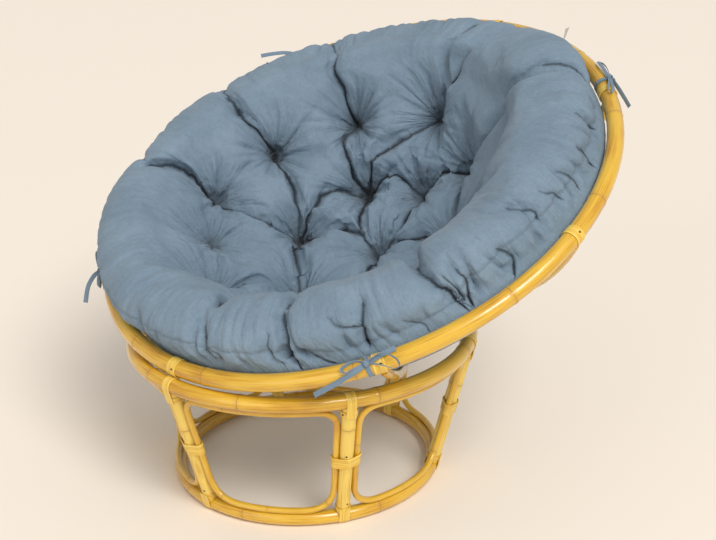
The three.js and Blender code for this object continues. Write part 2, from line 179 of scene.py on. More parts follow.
class Finish:
    """A material with one Principled shader and a method that adds any other node."""

    def __init__(self, name, **uniform):
        self.material = bpy.data.materials.new(name)
        self.material.use_nodes = True
        self.tree = self.material.node_tree
        self.shader = self.tree.nodes["Principled BSDF"]
        self.paint(**uniform)

    def add(self, kind, settings, values, output=0):
        node = self.tree.nodes.new(kind)
        for name, value in settings.items():
            setattr(node, name, value)
        for socket, value in values.items():
            self.join(node.inputs[socket], value)
        return Wire(self, node.outputs[output])

    def join(self, socket, value):
        if isinstance(value, Wire):
            self.tree.links.new(value.socket, socket)
        else:
            socket.default_value = value

    def read(self, attribute, output="Vector"):
        return self.add("ShaderNodeAttribute", {"attribute_name": attribute}, {}, output)

    def part(self, vector, axis):
        return self.add("ShaderNodeSeparateXYZ", {}, {0: vector}, axis)

    def stretch(self, vector, scale, shift=(0, 0, 0)):
        return self.add("ShaderNodeMapping", {}, {"Vector": vector, "Scale": scale, "Location": shift})

    def noise(self, vector, detail=3.0, roughness=0.55):
        values = {"Vector": vector, "Scale": 1.0, "Detail": detail, "Roughness": roughness}
        return self.add("ShaderNodeTexNoise", {}, values)

    def ramp(self, value, stops):
        colour = self.add("ShaderNodeValToRGB", {}, {0: value})
        elements = colour.socket.node.color_ramp.elements
        while len(elements) < len(stops):
            elements.new(1.0)
        for stop, (place, tint) in zip(elements, stops):
            stop.position, stop.color = place, (*tint, 1)
        return colour

    def blend(self, share, first, second):
        """Mixes two colours, which are the node's sockets 6 and 7 and its output 2."""
        return self.add("ShaderNodeMix", {"data_type": "RGBA"}, {0: share, 6: first, 7: second}, 2)

    def rough_up(self, height, distance, strength):
        values = {"Height": height, "Distance": distance, "Strength": strength}
        bump = self.add("ShaderNodeBump", {}, values)
        self.join(self.shader.inputs["Normal"], bump)

    def paint(self, **sockets):
        for socket, value in sockets.items():
            self.join(self.shader.inputs[socket.replace("_", " ")], value)


print("shader helpers ready")

# %% [markdown]
# ## Rattan finishes
# A rattan pole is a cane: fine streaks run along it, its colour drifts from honey to amber, and
# every hand or two it has a node, a dark ring with a slight swelling. The pattern must follow the
# bend, so each pole carries its own unbent coordinates in an attribute called straight, and its
# distance to the nearest node in one called node_gap. The poles are varnished, the posts and the
# peel bindings less so. Tones are given from the darkest streak to the palest.

# %% Make the rattan finishes
def cane_finish(name, tones, streaks, gloss, coat):
    finish = Finish(name, Coat_Roughness=0.12, Coat_IOR=1.5, Specular_IOR_Level=0.5)
    straight = finish.read("straight")
    fine = finish.noise(finish.stretch(straight, (14, 520, 520)), detail=4)
    broad = finish.noise(finish.stretch(straight, (5, 70, 70), (3, 1, 2)), detail=3)
    patch = finish.noise(finish.stretch(straight, (9, 26, 26), (8, 5, 1)), detail=2)
    tone = (fine * streaks * 1.2 + broad * 0.55 + patch * 0.75 - 0.30 * streaks - 0.145).held()
    colour = finish.ramp(tone, tones)
    gap = finish.read("node_gap", "Fac")
    line = (1 - gap * 900).held() ** 1.5
    halo = (1 - gap * 75).held() ** 2
    colour = finish.blend(halo * 0.35, colour, (0.50, 0.235, 0.028, 1))
    colour = finish.blend(line * 0.8, colour, (0.20, 0.085, 0.015, 1))
    roughness = (fine * 0.22 + patch * 0.12 + gloss).held()
    finish.paint(Base_Color=colour, Roughness=roughness, Coat_Weight=(1 - line) * coat)
    finish.rough_up(fine * 0.6 + broad * 0.8 - line * 1.6, 0.0005, 0.55)
    return finish.material


pole_tones = [(0.28, (0.24, 0.085, 0.004)), (0.45, (0.46, 0.208, 0.007))]
pole_tones += [(0.62, (0.605, 0.318, 0.012)), (0.80, (0.73, 0.450, 0.034))]
post_tones = [(0.28, (0.28, 0.13, 0.011)), (0.45, (0.50, 0.275, 0.026))]
post_tones += [(0.62, (0.67, 0.42, 0.052)), (0.80, (0.83, 0.60, 0.13))]
peel_tones = [(0.28, (0.42, 0.205, 0.012)), (0.46, (0.62, 0.350, 0.028))]
peel_tones += [(0.64, (0.73, 0.455, 0.052)), (0.82, (0.84, 0.60, 0.12))]
varnished = cane_finish("rattan_varnished", pole_tones, 0.75, 0.16, 0.75)
post_cane = cane_finish("rattan_post", post_tones, 1.25, 0.30, 0.22)
peel_strip = cane_finish("rattan_peel_strip", peel_tones, 0.7, 0.24, 0.35)
print("finishes", varnished.name, post_cane.name, peel_strip.name)

# %% [markdown]
# ## Bending a pole
# A cane is steamed and bent round a form. Here a path curve with a round bevel is the cane, with
# a radius at every point for its taper and its nodes, and it is converted to a mesh. A helper
# then writes the unbent coordinates, by carrying a frame along the path without twist. Strips and
# tapes are made the same way later, only with another section.

# %% Lay curves and their grain
def mesh_points(piece):
    points = np.zeros(len(piece.data.vertices) * 3, np.float32)
    piece.data.vertices.foreach_get("co", points)
    return points.reshape(-1, 3).astype(float)


def put_points(piece, points):
    piece.data.vertices.foreach_set("co", points.astype(np.float32).ravel())
    piece.data.update()


def keep(piece, name, values):
    """Stores one value or one vector for each point of a piece, for its finish to read."""
    kind, field = ("FLOAT_VECTOR", "vector") if values.ndim == 2 else ("FLOAT", "value")
    layer = piece.data.attributes.new(name, kind, "POINT")
    layer.data.foreach_set(field, values.astype(np.float32).ravel())


def frames_along(path, closed):
    """Length along, tangent and two cross directions at each point of a path, without twist."""
    ahead = np.roll(path, -1, 0) - path
    tangent = ahead + np.roll(ahead, 1, 0)
    if not closed:
        tangent[0], tangent[-1] = path[1] - path[0], path[-1] - path[-2]
    tangent /= np.linalg.norm(tangent, axis=1)[:, None]
    across = np.zeros_like(path)
    off_axis = (0.13, 0.21, 0.97)
    side = np.cross(tangent[0], off_axis)
    for i, heading in enumerate(tangent):
        side = side - heading * (side @ heading)
        across[i] = side = direction(side)
    return length_along(path), tangent, across, np.cross(tangent, across)


def node_gaps(places, nodes):
    """Distance from each place along a cane to its nearest node, or 1 m where it has none."""
    return np.abs(places[:, None] - nodes[None]).min(1) if len(nodes) else np.ones(len(places))


def lay_grain(piece, path, closed, nodes, shift):
    """Writes the unbent coordinates and the distance to the nearest node on a finished mesh."""
    along, tangent, across, third = frames_along(path, closed)
    points = mesh_points(piece)
    lots = np.array_split(points, 40)
    nearest = np.concatenate([((lot[:, None] - path[None]) ** 2).sum(2).argmin(1) for lot in lots])
    offset = points - path[nearest]
    run = along[nearest] + (offset * tangent[nearest]).sum(1)
    sideways = (offset * across[nearest]).sum(1), (offset * third[nearest]).sum(1)
    keep(piece, "straight", np.stack([run + shift, *sideways], 1))
    keep(piece, "node_gap", node_gaps(run, nodes))


def path_curve(path, closed):
    """A curve of straight spans through the places, ready to be given a section."""
    bpy.ops.curve.primitive_nurbs_path_add()
    curve = bpy.context.object
    curve.data.splines.clear()
    spline = curve.data.splines.new("POLY")
    spline.points.add(len(path) - 1)
    for point, place in zip(spline.points, path):
        point.co = (*place, 1)
    spline.use_cyclic_u = closed
    curve.data.use_fill_caps = not closed
    return curve, spline.points


def as_mesh(path, closed, nodes=(), shift=0.0):
    """Converts the curve in hand to a smooth mesh with its grain."""
    bpy.ops.object.convert(target="MESH")
    piece = bpy.context.object
    lay_grain(piece, path, closed, nodes, shift)
    bpy.ops.object.shade_smooth()
    return piece


print("curves and grain ready")

# %% Bend poles along paths
def cane_nodes(length, seed):
    """Places of the nodes along a cane: uneven, but the same on every run."""
    draw = np.random.default_rng(seed)
    places, place = [], draw.uniform(0.06, 0.22)
    while place < length - 0.03:
        places.append(place)
        place += draw.uniform(0.20, 0.31)
    return np.array(places)


stops_at_node = (-0.006, -0.003, -0.0012, 0, 0.0012, 0.003, 0.006)


def bend_pole(name, route, thick, foot_thick=None, closed=False, seed=1, sides=18, step=0.010):
    """route(share) gives a place from share 0 to 1. The cane swells at a node and narrows by it."""
    shares = np.linspace(0, 1, 241)
    reach = length_along([route(share) for share in shares])
    length = reach[-1]
    nodes = cane_nodes(length, seed)
    stops = np.linspace(0, length, int(length / step) + 2)
    close = (nodes[:, None] + np.array(stops_at_node)[None]).ravel()
    stops = np.unique(np.round(np.concatenate([stops, close]), 5))
    stops = stops[(stops >= 0) & (stops <= length)]
    if closed:
        stops = stops[:-1]
    path = np.array([route(share) for share in np.interp(stops, reach, shares)])
    gap = node_gaps(stops, nodes)
    taper = np.interp(stops, [0, length], [foot_thick or thick, thick]) / 2
    radii = taper * (1 + 0.045 * bell(gap, 0.004) - 0.012 * bell(gap - 0.012, 0.01))
    pole, points = path_curve(path, closed)
    pole.name = name
    for point, radius in zip(points, radii):
        point.radius = radius
    pole.data.bevel_depth = 1.0
    pole.data.bevel_resolution = (sides - 4) // 2
    pole.data.twist_mode = "MINIMUM"
    return as_mesh(path, closed, nodes, seed * 3.7)


def dress(piece, material, body, nodes):
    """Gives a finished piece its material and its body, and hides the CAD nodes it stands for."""
    piece.data.materials.clear()
    piece.data.materials.append(material)
    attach(piece, body)
    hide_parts(*nodes)


def set_down(piece, matrix):
    """Moves the mesh itself, so that the object stays at the origin."""
    piece.data.transform(matrix)
    piece.matrix_world = Matrix.Identity(4)
    piece.data.update()


print("pole bending ready")

# %% Bend the four ring poles
def ring_route(radius, height, start):
    return lambda share: ring_spot(radius, start + share * 2 * math.pi, height)


hub_drop = rib_bend * math.cos(hub_polar)
ring_poles = {
    "base_foot_ring": (foot_radius, foot_height, foot_thick, base_place, "base", 0.0, 11),
    "base_top_ring": (top_radius, top_height, top_thick, base_place, "base", math.pi, 5),
    "bowl_rim": (rim_radius, -rim_drop, rim_thick, bowl_place, "bowl", math.pi, 7),
    "bowl_hub_ring": (hub_radius, -hub_drop, hub_thick, bowl_place, "bowl", 0.4, 9),
}
for node, (radius, height, thick, place, body, start, seed) in ring_poles.items():
    route = ring_route(radius, height, start)
    pole = bend_pole("pole_" + node, route, thick, closed=True, seed=seed, sides=22)
    set_down(pole, place)
    dress(pole, varnished, body, [node])
    print(pole.name, len(pole.data.polygons), "faces")

# %% [markdown]
# ## Ribs and posts
# The ribs are arcs of the bowl's sphere, from the hub ring to the rim. The posts lean outward,
# thicker at the top. Each runs to the middle of the rings that it is notched over, as the real
# one does, and every pole gets its own grain.

# %% Bend the ribs and stand the posts
def bowl_point(polar, turn, radius):
    return ring_spot(radius * math.sin(polar), turn, -radius * math.cos(polar))


def cone_radius(along):
    return foot_radius + along * math.sin(lean)


def cone_point(turn, along):
    return ring_spot(cone_radius(along), turn, foot_height + along * math.cos(lean))


rib_start, rib_end, post_notch = hub_polar + 0.004, rim_polar - 0.016, 0.004
for i in range(8):
    turn = math.radians(45 * i)
    route = lambda share: bowl_point(rib_start + share * (rib_end - rib_start), turn, rib_bend)
    rib = bend_pole(f"pole_rib_{i + 1}", route, rib_thick, seed=20 + i, sides=16)
    set_down(rib, bowl_place)
    dress(rib, varnished, "bowl", [f"rib_{i + 1}"])
for i in range(6):
    turn = math.radians(60 * i)
    route = lambda share: cone_point(turn, post_notch + share * (slant - 2 * post_notch))
    post = bend_pole(f"pole_post_{i + 1}", route, post_top_thick, post_foot_thick, seed=40 + i)
    set_down(post, base_place)
    dress(post, post_cane, "base", [f"post_{i + 1}"])
print("ribs and posts bent")

# %% [markdown]
# ## Hoops
# Each bay between two posts holds one closed hoop of thin cane with rounded corners. It lies on
# the same cone as the posts, so its outline is drawn on the unrolled cone and rolled up.

# %% Bend the hoops
def post_radius_at(along):
    return (post_foot_thick + (post_top_thick - post_foot_thick) * along / slant) / 2


def beside_post(along):
    """Distance between the middles of a post and of the hoop beside it."""
    return post_radius_at(along) + play + hoop_thick / 2


def hoop_side_at(along):
    radius = cone_radius(along)
    return radius * (math.pi / 6 - math.asin(beside_post(along) / radius))


def hoop_outline():
    low = foot_thick / 2 + play + hoop_thick / 2
    high = slant - top_thick / 2 - play - hoop_thick / 2
    corners = [(-1, low, 0.052), (1, low, 0.052), (1, high, 0.042), (-1, high, 0.042)]
    spots = [Vector((side * hoop_side_at(along), along)) for side, along, reach in corners]
    outline = [(spots[0] + spots[1]) / 2]
    for k in (1, 2, 3, 0):
        corner, before, after = spots[k], spots[k - 1], spots[(k + 1) % 4]
        reach = corners[k][2]
        start = corner + (before - corner).normalized() * reach
        end = corner + (after - corner).normalized() * reach
        steps = np.linspace(0, 1, 13)
        outline += [start * (1 - t) ** 2 + corner * 2 * t * (1 - t) + end * t * t for t in steps]
    return np.array([tuple(p) for p in outline + outline[:1]])


outline = hoop_outline()
outline_reach = length_along(outline)
for i in range(6):
    bay = math.radians(60 * i + 30)

    def hoop_route(share):
        reach = share * outline_reach[-1]
        across, along = (np.interp(reach, outline_reach, outline[:, k]) for k in (0, 1))
        return cone_point(bay + across / cone_radius(along), along)

    hoop = bend_pole(f"pole_hoop_{i + 1}", hoop_route, hoop_thick, closed=True, seed=60 + i, sides=14)
    set_down(hoop, base_place)
    dress(hoop, varnished, "base", [f"hoop_{i + 1}"])
print("hoops bent", round(outline_reach[-1], 3), "m of cane each")

# %% [markdown]
# ## Peel bindings
# The joints are bound with strips of rattan peel, a few millimetres wide and slightly domed. A
# strip is a flat curve with a little height and a round bevel: a closed outline makes a winding,
# an open one a lashing over a ring. Each binding is joined from its strips and copied round.

# %% Wind strips
def peel_run(outline, width, thick, shift, closed=True):
    """One strip: its outline lies in the xy plane, and its width stands along z at shift."""
    path = np.array([(x, y, 0) for x, y in outline])
    strip, _ = path_curve(path, closed)
    strip.data.dimensions = "2D"
    strip.data.fill_mode = "NONE"
    strip.data.bevel_depth = thick / 2
    strip.data.bevel_resolution = 2
    strip.data.extrude = (width - thick) / 2
    strip = as_mesh(path, closed, shift=shift * 90)
    strip.data.transform(Matrix.Translation((0, 0, shift)))
    return strip


def join_as(name, parts):
    bpy.ops.object.select_all(action="DESELECT")
    for part in parts:
        part.select_set(True)
    bpy.context.view_layer.objects.active = parts[0]
    bpy.ops.object.join()
    whole = bpy.context.object
    whole.name = name
    return whole


def copy_of(piece, name):
    twin = piece.copy()
    twin.data = piece.data.copy()
    twin.name = name
    bpy.context.scene.collection.objects.link(twin)
    return twin


def circle_outline(radius, count=40, squash=1.0):
    turns = np.linspace(0, 2 * math.pi, count, endpoint=False)
    return [(radius * math.cos(t), radius * squash * math.sin(t)) for t in turns]


def bind_posts(first, node):
    """Sets copies of a binding down at the other posts, and then the first at its own."""
    stem = first.name.removesuffix("_1")
    for i in reversed(range(6)):
        binding = copy_of(first, f"{stem}_{i + 1}") if i else first
        set_down(binding, base_place @ turned(60 * i - 90, "Z"))
        dress(binding, peel_strip, "base", [f"{node}_{i + 1}"])
    print(node, len(first.data.polygons), "faces each")


print("strips ready")

# %% Bind the rim at the ribs
strips = []
for k in range(4):
    outline = circle_outline(rim_thick / 2 + 0.0009)
    run = peel_run(outline, width=0.0054, thick=0.0016, shift=(k - 1.5) * 0.0052)
    run.data.transform(turned(3, "Y"))
    strips.append(run)
rim_binding = join_as("binding_rim_1", strips)
rim_binding.data.transform(Matrix.Translation((0, -rim_radius, -rim_drop)) @ turned(90, "Y"))
set_down(rim_binding, bowl_place)
for i in range(8):
    binding = rim_binding
    if i:
        binding = copy_of(rim_binding, f"binding_rim_{i + 1}")
        set_down(binding, bowl_place @ turned(45 * i, "Z") @ bowl_place.inverted())
    dress(binding, peel_strip, "bowl", [f"rim_binding_{i + 1}"])
print("rim bindings", len(rim_binding.data.polygons), "faces each")

# %% Lash the rings to the posts
def lashing_outline(radius, leg, sign, count=26):
    """From the post's outer face, over or under the ring, to the post's inner face."""
    axis = Vector((math.sin(lean), math.cos(lean)))
    outward = Vector((axis.y, -axis.x))
    down = -sign * axis
    points = [outward * radius + down * leg * (1 - t) for t in np.linspace(0, 1, 5)]
    for t in np.linspace(0, 1, count)[1:-1]:
        turn = t * math.pi
        points.append(outward * radius * math.cos(turn) - down * radius * math.sin(turn))
    points += [-outward * radius + down * leg * t for t in np.linspace(0, 1, 5)]
    return [(p.x, p.y) for p in points]


def lash(end, middle, ring_thick, leg, sign, width, collar_count, first_collar, collar_radius):
    """Four strips over or under a ring at its middle, and collars round the post beside it."""
    parts = []
    outline = lashing_outline(ring_thick / 2 + 0.0008, leg, sign)
    for k in range(4):
        strip = peel_run(outline, width * 1.02, 0.0015, (k - 1.5) * width, closed=False)
        strip.data.transform(turned(90, "X"))
        parts.append(strip)
    for k in range(collar_count):
        reach = first_collar + 0.0029 * k
        collar = peel_run(circle_outline(collar_radius, 36), 0.0030, 0.0014, -sign * reach)
        collar.data.transform(leaning)
        parts.append(collar)
    lashing = join_as(f"lashing_{end}_1", parts)
    lashing.data.transform(Matrix.Translation(middle))
    bind_posts(lashing, f"{end}_lashing")


lash("top", (top_radius, 0, top_height), top_thick, leg=0.030, sign=1, width=0.0046,
     collar_count=4, first_collar=0.0205, collar_radius=0.0153)
lash("foot", (foot_radius, 0, foot_height), foot_thick - play, leg=0.026, sign=-1, width=0.0050,
     collar_count=3, first_collar=0.0178, collar_radius=0.0138)

# %% Bind the hoops to the posts
def hull_outline(circles, grow, count=72):
    """Outline of a band stretched round circles given as x, y and radius."""
    points = []
    for turn in np.linspace(0, 2 * math.pi, count, endpoint=False):
        side = np.array([math.cos(turn), math.sin(turn)])
        x, y, radius = max(circles, key=lambda c: c[0] * side[0] + c[1] * side[1] + c[2])
        points.append((x + (radius + grow) * side[0], y + (radius + grow) * side[1]))
    return points


middle = slant / 2
hoop_offset, middle_radius = beside_post(middle), cone_radius(middle)
drawn_in = (middle_radius - math.sqrt(middle_radius**2 - hoop_offset**2)) * math.cos(lean)
circles = [(-drawn_in, side * hoop_offset, hoop_thick / 2) for side in (1, -1)]
circles.append((0, 0, post_radius_at(middle)))
parts = []
for k in range(5):
    shift = (k - 2) * 0.0047
    lip = 0.0007 if k == 4 else 0.0
    parts.append(peel_run(hull_outline(circles, 0.0011 + lip), 0.0049, 0.0017 + lip, shift))
mid_binding = join_as("binding_mid_1", parts)
mid_spot = Matrix.Translation((middle_radius, 0, foot_height + middle * math.cos(lean)))
mid_binding.data.transform(mid_spot @ leaning)
bind_posts(mid_binding, "mid_binding")

# %% [markdown]
# ## Cushion
# A thick disc of stuffed cotton is sewn through at tufts, so that it dishes into the bowl, and its
# edge is a plump roll. The closed form is drawn in the bowl's coordinates: a section runs from the
# middle of the top, over the roll and its sewn side, to the middle of the underside. Tufts and
# folds are laid out on the unrolled cloth, where a distance is simple to measure.

# %% Draw the cushion's section
def smooth_chain(spots, per_span):
    """Points on a smooth curve through the spots."""
    spots = np.array(spots)
    ends = np.concatenate([[2 * spots[0] - spots[1]], spots, [2 * spots[-1] - spots[-2]]])
    chain = []
    for a, b, c, d in zip(ends, ends[1:], ends[2:], ends[3:]):
        for t in np.linspace(0, 1, per_span, endpoint=False):
            bend = (2 * a - 5 * b + 4 * c - d) * t**2 + (3 * b - a - 3 * c + d) * t**3
            chain.append(b + 0.5 * ((c - a) * t + bend))
    return np.array(chain + [spots[-1]])


def top_spot(degrees):
    thick = middle_thick + (edge_thick - middle_thick) * math.sin(degrees / 57 * math.pi / 2) ** 2
    return ring_spot(ball_radius - thick, math.radians(degrees))[:2]


middle_thick, edge_thick = 0.112, 0.145
ball_radius = rib_bend - rib_thick / 2 - play
side_out = rim_radius - rim_seat - 0.0023
seam_height, crest_height, crest_out = 0.028 - rim_drop, 0.086 - rim_drop, rim_radius - 0.080
rise, reach_out = crest_height - seam_height, side_out - crest_out
top_polars = (0, 5, 10, 16, 21.5, 26, 31, 36, 41, 47, 52, 57)
top_spots = [top_spot(degrees) for degrees in top_polars]
side_spots = [(crest_out, crest_height), (crest_out + 0.6 * reach_out, seam_height + 0.85 * rise)]
side_spots += [(side_out + 0.004, seam_height + 0.45 * rise), (side_out + 0.008, seam_height)]
side_spots += [(side_out, 0.0107 - rim_drop), (side_out, -0.0107 - rim_drop)]
under_polars = (50, 43, 35, 26, 17, 8, 0)
under_spots = [ring_spot(ball_radius, math.radians(degrees))[:2] for degrees in under_polars]
span = 5
section = smooth_chain(top_spots + side_spots + under_spots, span)
section_reach = length_along(section)
crest = len(top_spots) * span
crest_reach, seam_reach = section_reach[crest], section_reach[crest + 3 * span]
print("crest, seam and middle of the underside at", rounded((crest_reach, seam_reach, section_reach[-1])))

# %% [markdown]
# A tuft is a stitch right through the stuffing. Between neighbouring tufts the cloth folds in, and
# from the outer tufts folds run up and over the roll. In the dish a place is given by its angle from
# straight down and its turn from the bowl's low side, in degrees. On the roll it is given by its
# height over the rim's middle, in millimetres, and its turn. A tuft's third number and a roll fold's
# first are depths. A swell is a place where the stuffing is plumper, with its height and its reach.

# %% Lay out tufts and folds on the cloth
tufts = {
    "middle": (4, 250, 0.050),
    "inner_1": (22, 280, 0.062), "inner_2": (21.5, 229, 0.062), "inner_3": (19, 190, 0.062),
    "inner_4": (28, 159, 0.058), "inner_5": (17, 110, 0.050), "inner_6": (21.5, 40, 0.055),
    "inner_7": (21.5, 340, 0.055),
    "outer_1": (41, 255.5, 0.064), "outer_2": (38.3, 223.5, 0.064), "outer_3": (37, 189, 0.064),
    "outer_4": (43, 285, 0.060), "outer_5": (40, 308, 0.038), "outer_6": (41, 335, 0.050),
    "outer_7": (40, 3, 0.050), "outer_8": (38, 30, 0.050), "outer_9": (36, 62, 0.050),
    "outer_10": (31, 92, 0.045),
}
dish_folds = [
    [(41, 255.5), (51, 256), (61, 255.5)],
    [(38.3, 223.5), (48, 223), (58, 220)],
    [(37, 189), (44, 182), (57, 179)],
    [(44, 181), (52, 172), (62, 166)],
    [(43, 285), (51, 285.6), (60, 289.6)],
    [(19, 190), (23, 175), (28, 159), (32, 151), (36, 149), (43, 145.5), (51, 141), (60, 134)],
    [(21.5, 229), (33, 231), (38.3, 223.5)],
    [(21.5, 229), (28, 215), (37, 189)],
    [(41, 255.5), (30, 263), (22, 280)],
    [(43, 285), (32, 287), (22, 280)],
    [(22, 280), (24, 254), (21.5, 229)],
    [(22, 280), (20.5, 302), (21.5, 340)],
    [(21.5, 229), (12, 244), (4, 250)],
    [(22, 280), (13, 261), (4, 250)],
    [(19, 190), (9, 185), (4, 250)],
    [(4, 250), (10, 130), (17, 110)],
    [(28, 159), (22, 136), (17, 110)],
    [(4, 250), (10, 20), (21.5, 40)],
    [(21.5, 229), (22, 208), (19, 190)],
    [(17, 110), (24, 98), (31, 92)],
    [(21.5, 40), (30, 44), (38, 30)],
    [(21.5, 40), (30, 52), (36, 62)],
    [(21.5, 340), (30, 336), (41, 335)],
    [(36, 62), (48, 62), (58, 62), (61, 62)],
    [(38, 30), (48, 31), (59, 30)],
    [(40, 3), (50, 6), (58, 11)],
]
roll_folds = [
    (0.010, [(86, 255), (60, 253), (30, 251)]),
    (0.010, [(86, 220), (60, 222), (30, 224)]),
    (0.007, [(86, 179), (60, 178), (30, 178)]),
    (0.005, [(86, 166), (60, 165), (40, 165)]),
    (0.006, [(86, 288), (60, 284), (30, 279)]),
    (0.008, [(86, 137), (60, 133), (25, 130)]),
    (0.020, [(86, 62), (66, 62.5), (45, 64), (10, 64.5)]),
    (0.012, [(66, 68), (40, 68), (10, 66)]),
    (0.008, [(68, 65), (42, 65.5), (20, 65.5)]),
    (0.010, [(54, 77), (30, 78.5), (10, 76)]),
    (0.008, [(84, 86), (66, 88), (48, 88)]),
    (0.014, [(78, 47.5), (50, 46.5), (20, 45)]),
    (0.006, [(34, 54), (22, 56), (8, 56)]),
    (0.018, [(86, 30), (60, 30.5), (28, 29.5), (8, 30)]),
    (0.007, [(70, 27), (42, 26.5), (20, 27)]),
    (0.010, [(80, 11), (54, 12), (26, 12)]),
    (0.007, [(60, 352), (34, 353), (14, 353)]),
    (0.006, [(70, 93), (40, 95)]),
    (0.009, [(34, 33), (20, 34.5), (6, 37)]),
    (0.006, [(72, 41), (60, 43), (50, 46.5)]),
    (0.006, [(56, 12), (40, 14.5), (24, 14)]),
    (0.007, [(46, 353), (30, 350.5), (12, 350)]),
    (0.008, [(62, 100), (42, 101.5), (22, 101)]),
    (0.009, [(50, 109), (34, 110), (14, 109)]),
    (0.007, [(66, 118), (44, 118), (24, 119.5)]),
]
cloth_polars = (*top_polars, 61, 70)
cloth_reaches = (*section_reach[:crest:span], crest_reach, seam_reach)
side = slice(crest, crest + 5 * span)
side_heights, side_reaches = (section[side, 1] + rim_drop)[::-1] * 1000, section_reach[side][::-1]


def on_cloth(degrees, turn):
    return ring_spot(np.interp(degrees, cloth_polars, cloth_reaches), math.radians(turn))[:2]


def on_side(height, turn):
    return ring_spot(np.interp(height, side_heights, side_reaches), math.radians(turn))[:2]


def fold_line(place, spots):
    return smooth_chain([place(*spot) for spot in spots], 4)


tuft_spots = np.array([on_cloth(polar, turn) for polar, turn, _ in tufts.values()])
fold_lines = [(0.020, fold_line(on_cloth, fold)) for fold in dish_folds]
fold_lines += [(depth, fold_line(on_side, fold[::-1])) for depth, fold in roll_folds]
swells = [(on_cloth(43, 106), 0.034, 0.105), (on_side(60, 143), 0.022, 0.145)]
swells.append((on_side(60, 283), -0.010, 0.110))


def gap_to_line(spots, line):
    """Signed distance of each place on the cloth to a bent line, and the share along it."""
    best, share = np.full(len(spots), 9.0), np.zeros(len(spots))
    for k, (a, b) in enumerate(zip(line, line[1:])):
        length, along, away = np.linalg.norm(b - a), direction(b - a), spots - a
        t = np.clip(away @ along, 0, length)
        gap = gaps_to(away, t[:, None] * along)
        nearer = gap < np.abs(best)
        side_sign = np.sign(along[0] * away[:, 1] - along[1] * away[:, 0])
        share = np.where(nearer, (k + t / length) / (len(line) - 1), share)
        best = np.where(nearer, gap * np.where(side_sign == 0, 1, side_sign), best)
    return best, share


print(len(tufts), "tufts and", len(fold_lines), "folds")

# %% Build the closed form
fold_gentle, fold_steep = 0.030, 0.018


def drawn_in_at(spots):
    """How far the stuffing is drawn in: deep at the tufts, shallow along the folds."""
    pull = np.zeros(len(spots))
    for spot, (_, _, depth) in zip(tuft_spots, tufts.values()):
        gap = gaps_to(spots, spot)
        pull = np.maximum(pull, depth * (0.72 * bell(gap, 0.058) + 0.28 * np.exp(-gap / 0.020)))
    for depth, line in fold_lines:
        gap, _ = gap_to_line(spots, line)
        pull = np.maximum(pull, depth * bell(gap, np.where(gap > 0, fold_gentle, fold_steep)))
    for spot, swell, spread in swells:
        pull = pull - swell * bell(gaps_to(spots, spot), spread)
    return pull


def droop_share(spot, reach):
    """The roll sags at the back, most at its crest and not at all at the seam or in the dish."""
    if reach > crest_reach:
        return unit((spot[1] - seam_height) / rise)
    return unit((reach - sag_from) / (crest_reach - sag_from)) ** 1.5


sag, sag_turn, top_slip = 0.056, math.radians(210), 0.030
roll_from, sag_from, slip_height = 0.36, 0.34, 0.043


def cushion_form(sectors=320):
    """Points, patches and unrolled places of the form. The top slips sideways over the rim."""
    turns = np.linspace(0, 2 * math.pi, sectors, endpoint=False)
    around = np.stack([np.sin(turns), -np.cos(turns)], 1)
    core = np.array([crest_out - 0.007, 0.012 - rim_drop])
    rings, cloth = [], []
    for spot, reach in zip(section[1:-1], section_reach[1:-1]):
        flat = around * reach
        pull = drawn_in_at(flat) * unit((seam_reach + 0.015 - reach) / 0.06)
        on_roll = unit((reach - roll_from) / (crest_reach - roll_from))
        inward = direction(core - spot) * on_roll + direction(spot) * (1 - on_roll)
        droop = sag * unit(np.cos(turns - sag_turn)) ** 2 * droop_share(spot, reach)
        out, height = spot[0] + pull * inward[0], spot[1] + pull * inward[1] - droop
        lift = unit((spot[1] + rim_drop) / slip_height)
        slip = top_slip * lift**2 * (3 - 2 * lift)
        rings.append(np.stack([around[:, 0] * out - slip, around[:, 1] * out, height], 1))
        cloth.append(np.column_stack([flat, np.full(sectors, reach)]))
    depth = drawn_in_at(np.zeros((1, 2)))[0]
    ends = [(0, 0, section[0][1] - depth), (0, 0, section[-1][1])]
    points = np.concatenate([[ends[0]], *rings, [ends[1]]])
    cloth = np.concatenate([[(0, 0, 0)], *cloth, [(0, 0, section_reach[-1])]])
    step = [(i, (i + 1) % sectors) for i in range(sectors)]
    patches = [(0, 1 + b, 1 + a) for a, b in step]
    for low in range(1, 1 + (len(rings) - 1) * sectors, sectors):
        patches += [(low + a, low + b, low + sectors + b, low + sectors + a) for a, b in step]
    last = len(points) - 1
    patches += [(last, last - sectors + a, last - sectors + b) for a, b in step]
    return points, patches, cloth


form_points, form_patches, form_cloth = cushion_form()
form = bpy.data.meshes.new("cushion_tufted")
form.from_pydata(form_points.tolist(), [], form_patches)
cushion = bpy.data.objects.new("cushion_tufted", form)
bpy.context.scene.collection.objects.link(cushion)
bpy.ops.object.select_all(action="DESELECT")
cushion.select_set(True)
bpy.context.view_layer.objects.active = cushion
bpy.ops.object.mode_set(mode="EDIT")
bpy.ops.mesh.select_all(action="SELECT")
bpy.ops.mesh.normals_make_consistent(inside=False)
bpy.ops.object.mode_set(mode="OBJECT")
print("form of", len(form_points), "points")

# %% [markdown]
# The form is remeshed into even patches, which cloth needs. Each new point finds its place on the
# unrolled cloth from the nearest points of the form. The cushion is then blown up as cloth: the
# tufts, the side below the seam and the underside are held, and the folds are held a little, so
# that the stuffing bulges between them.

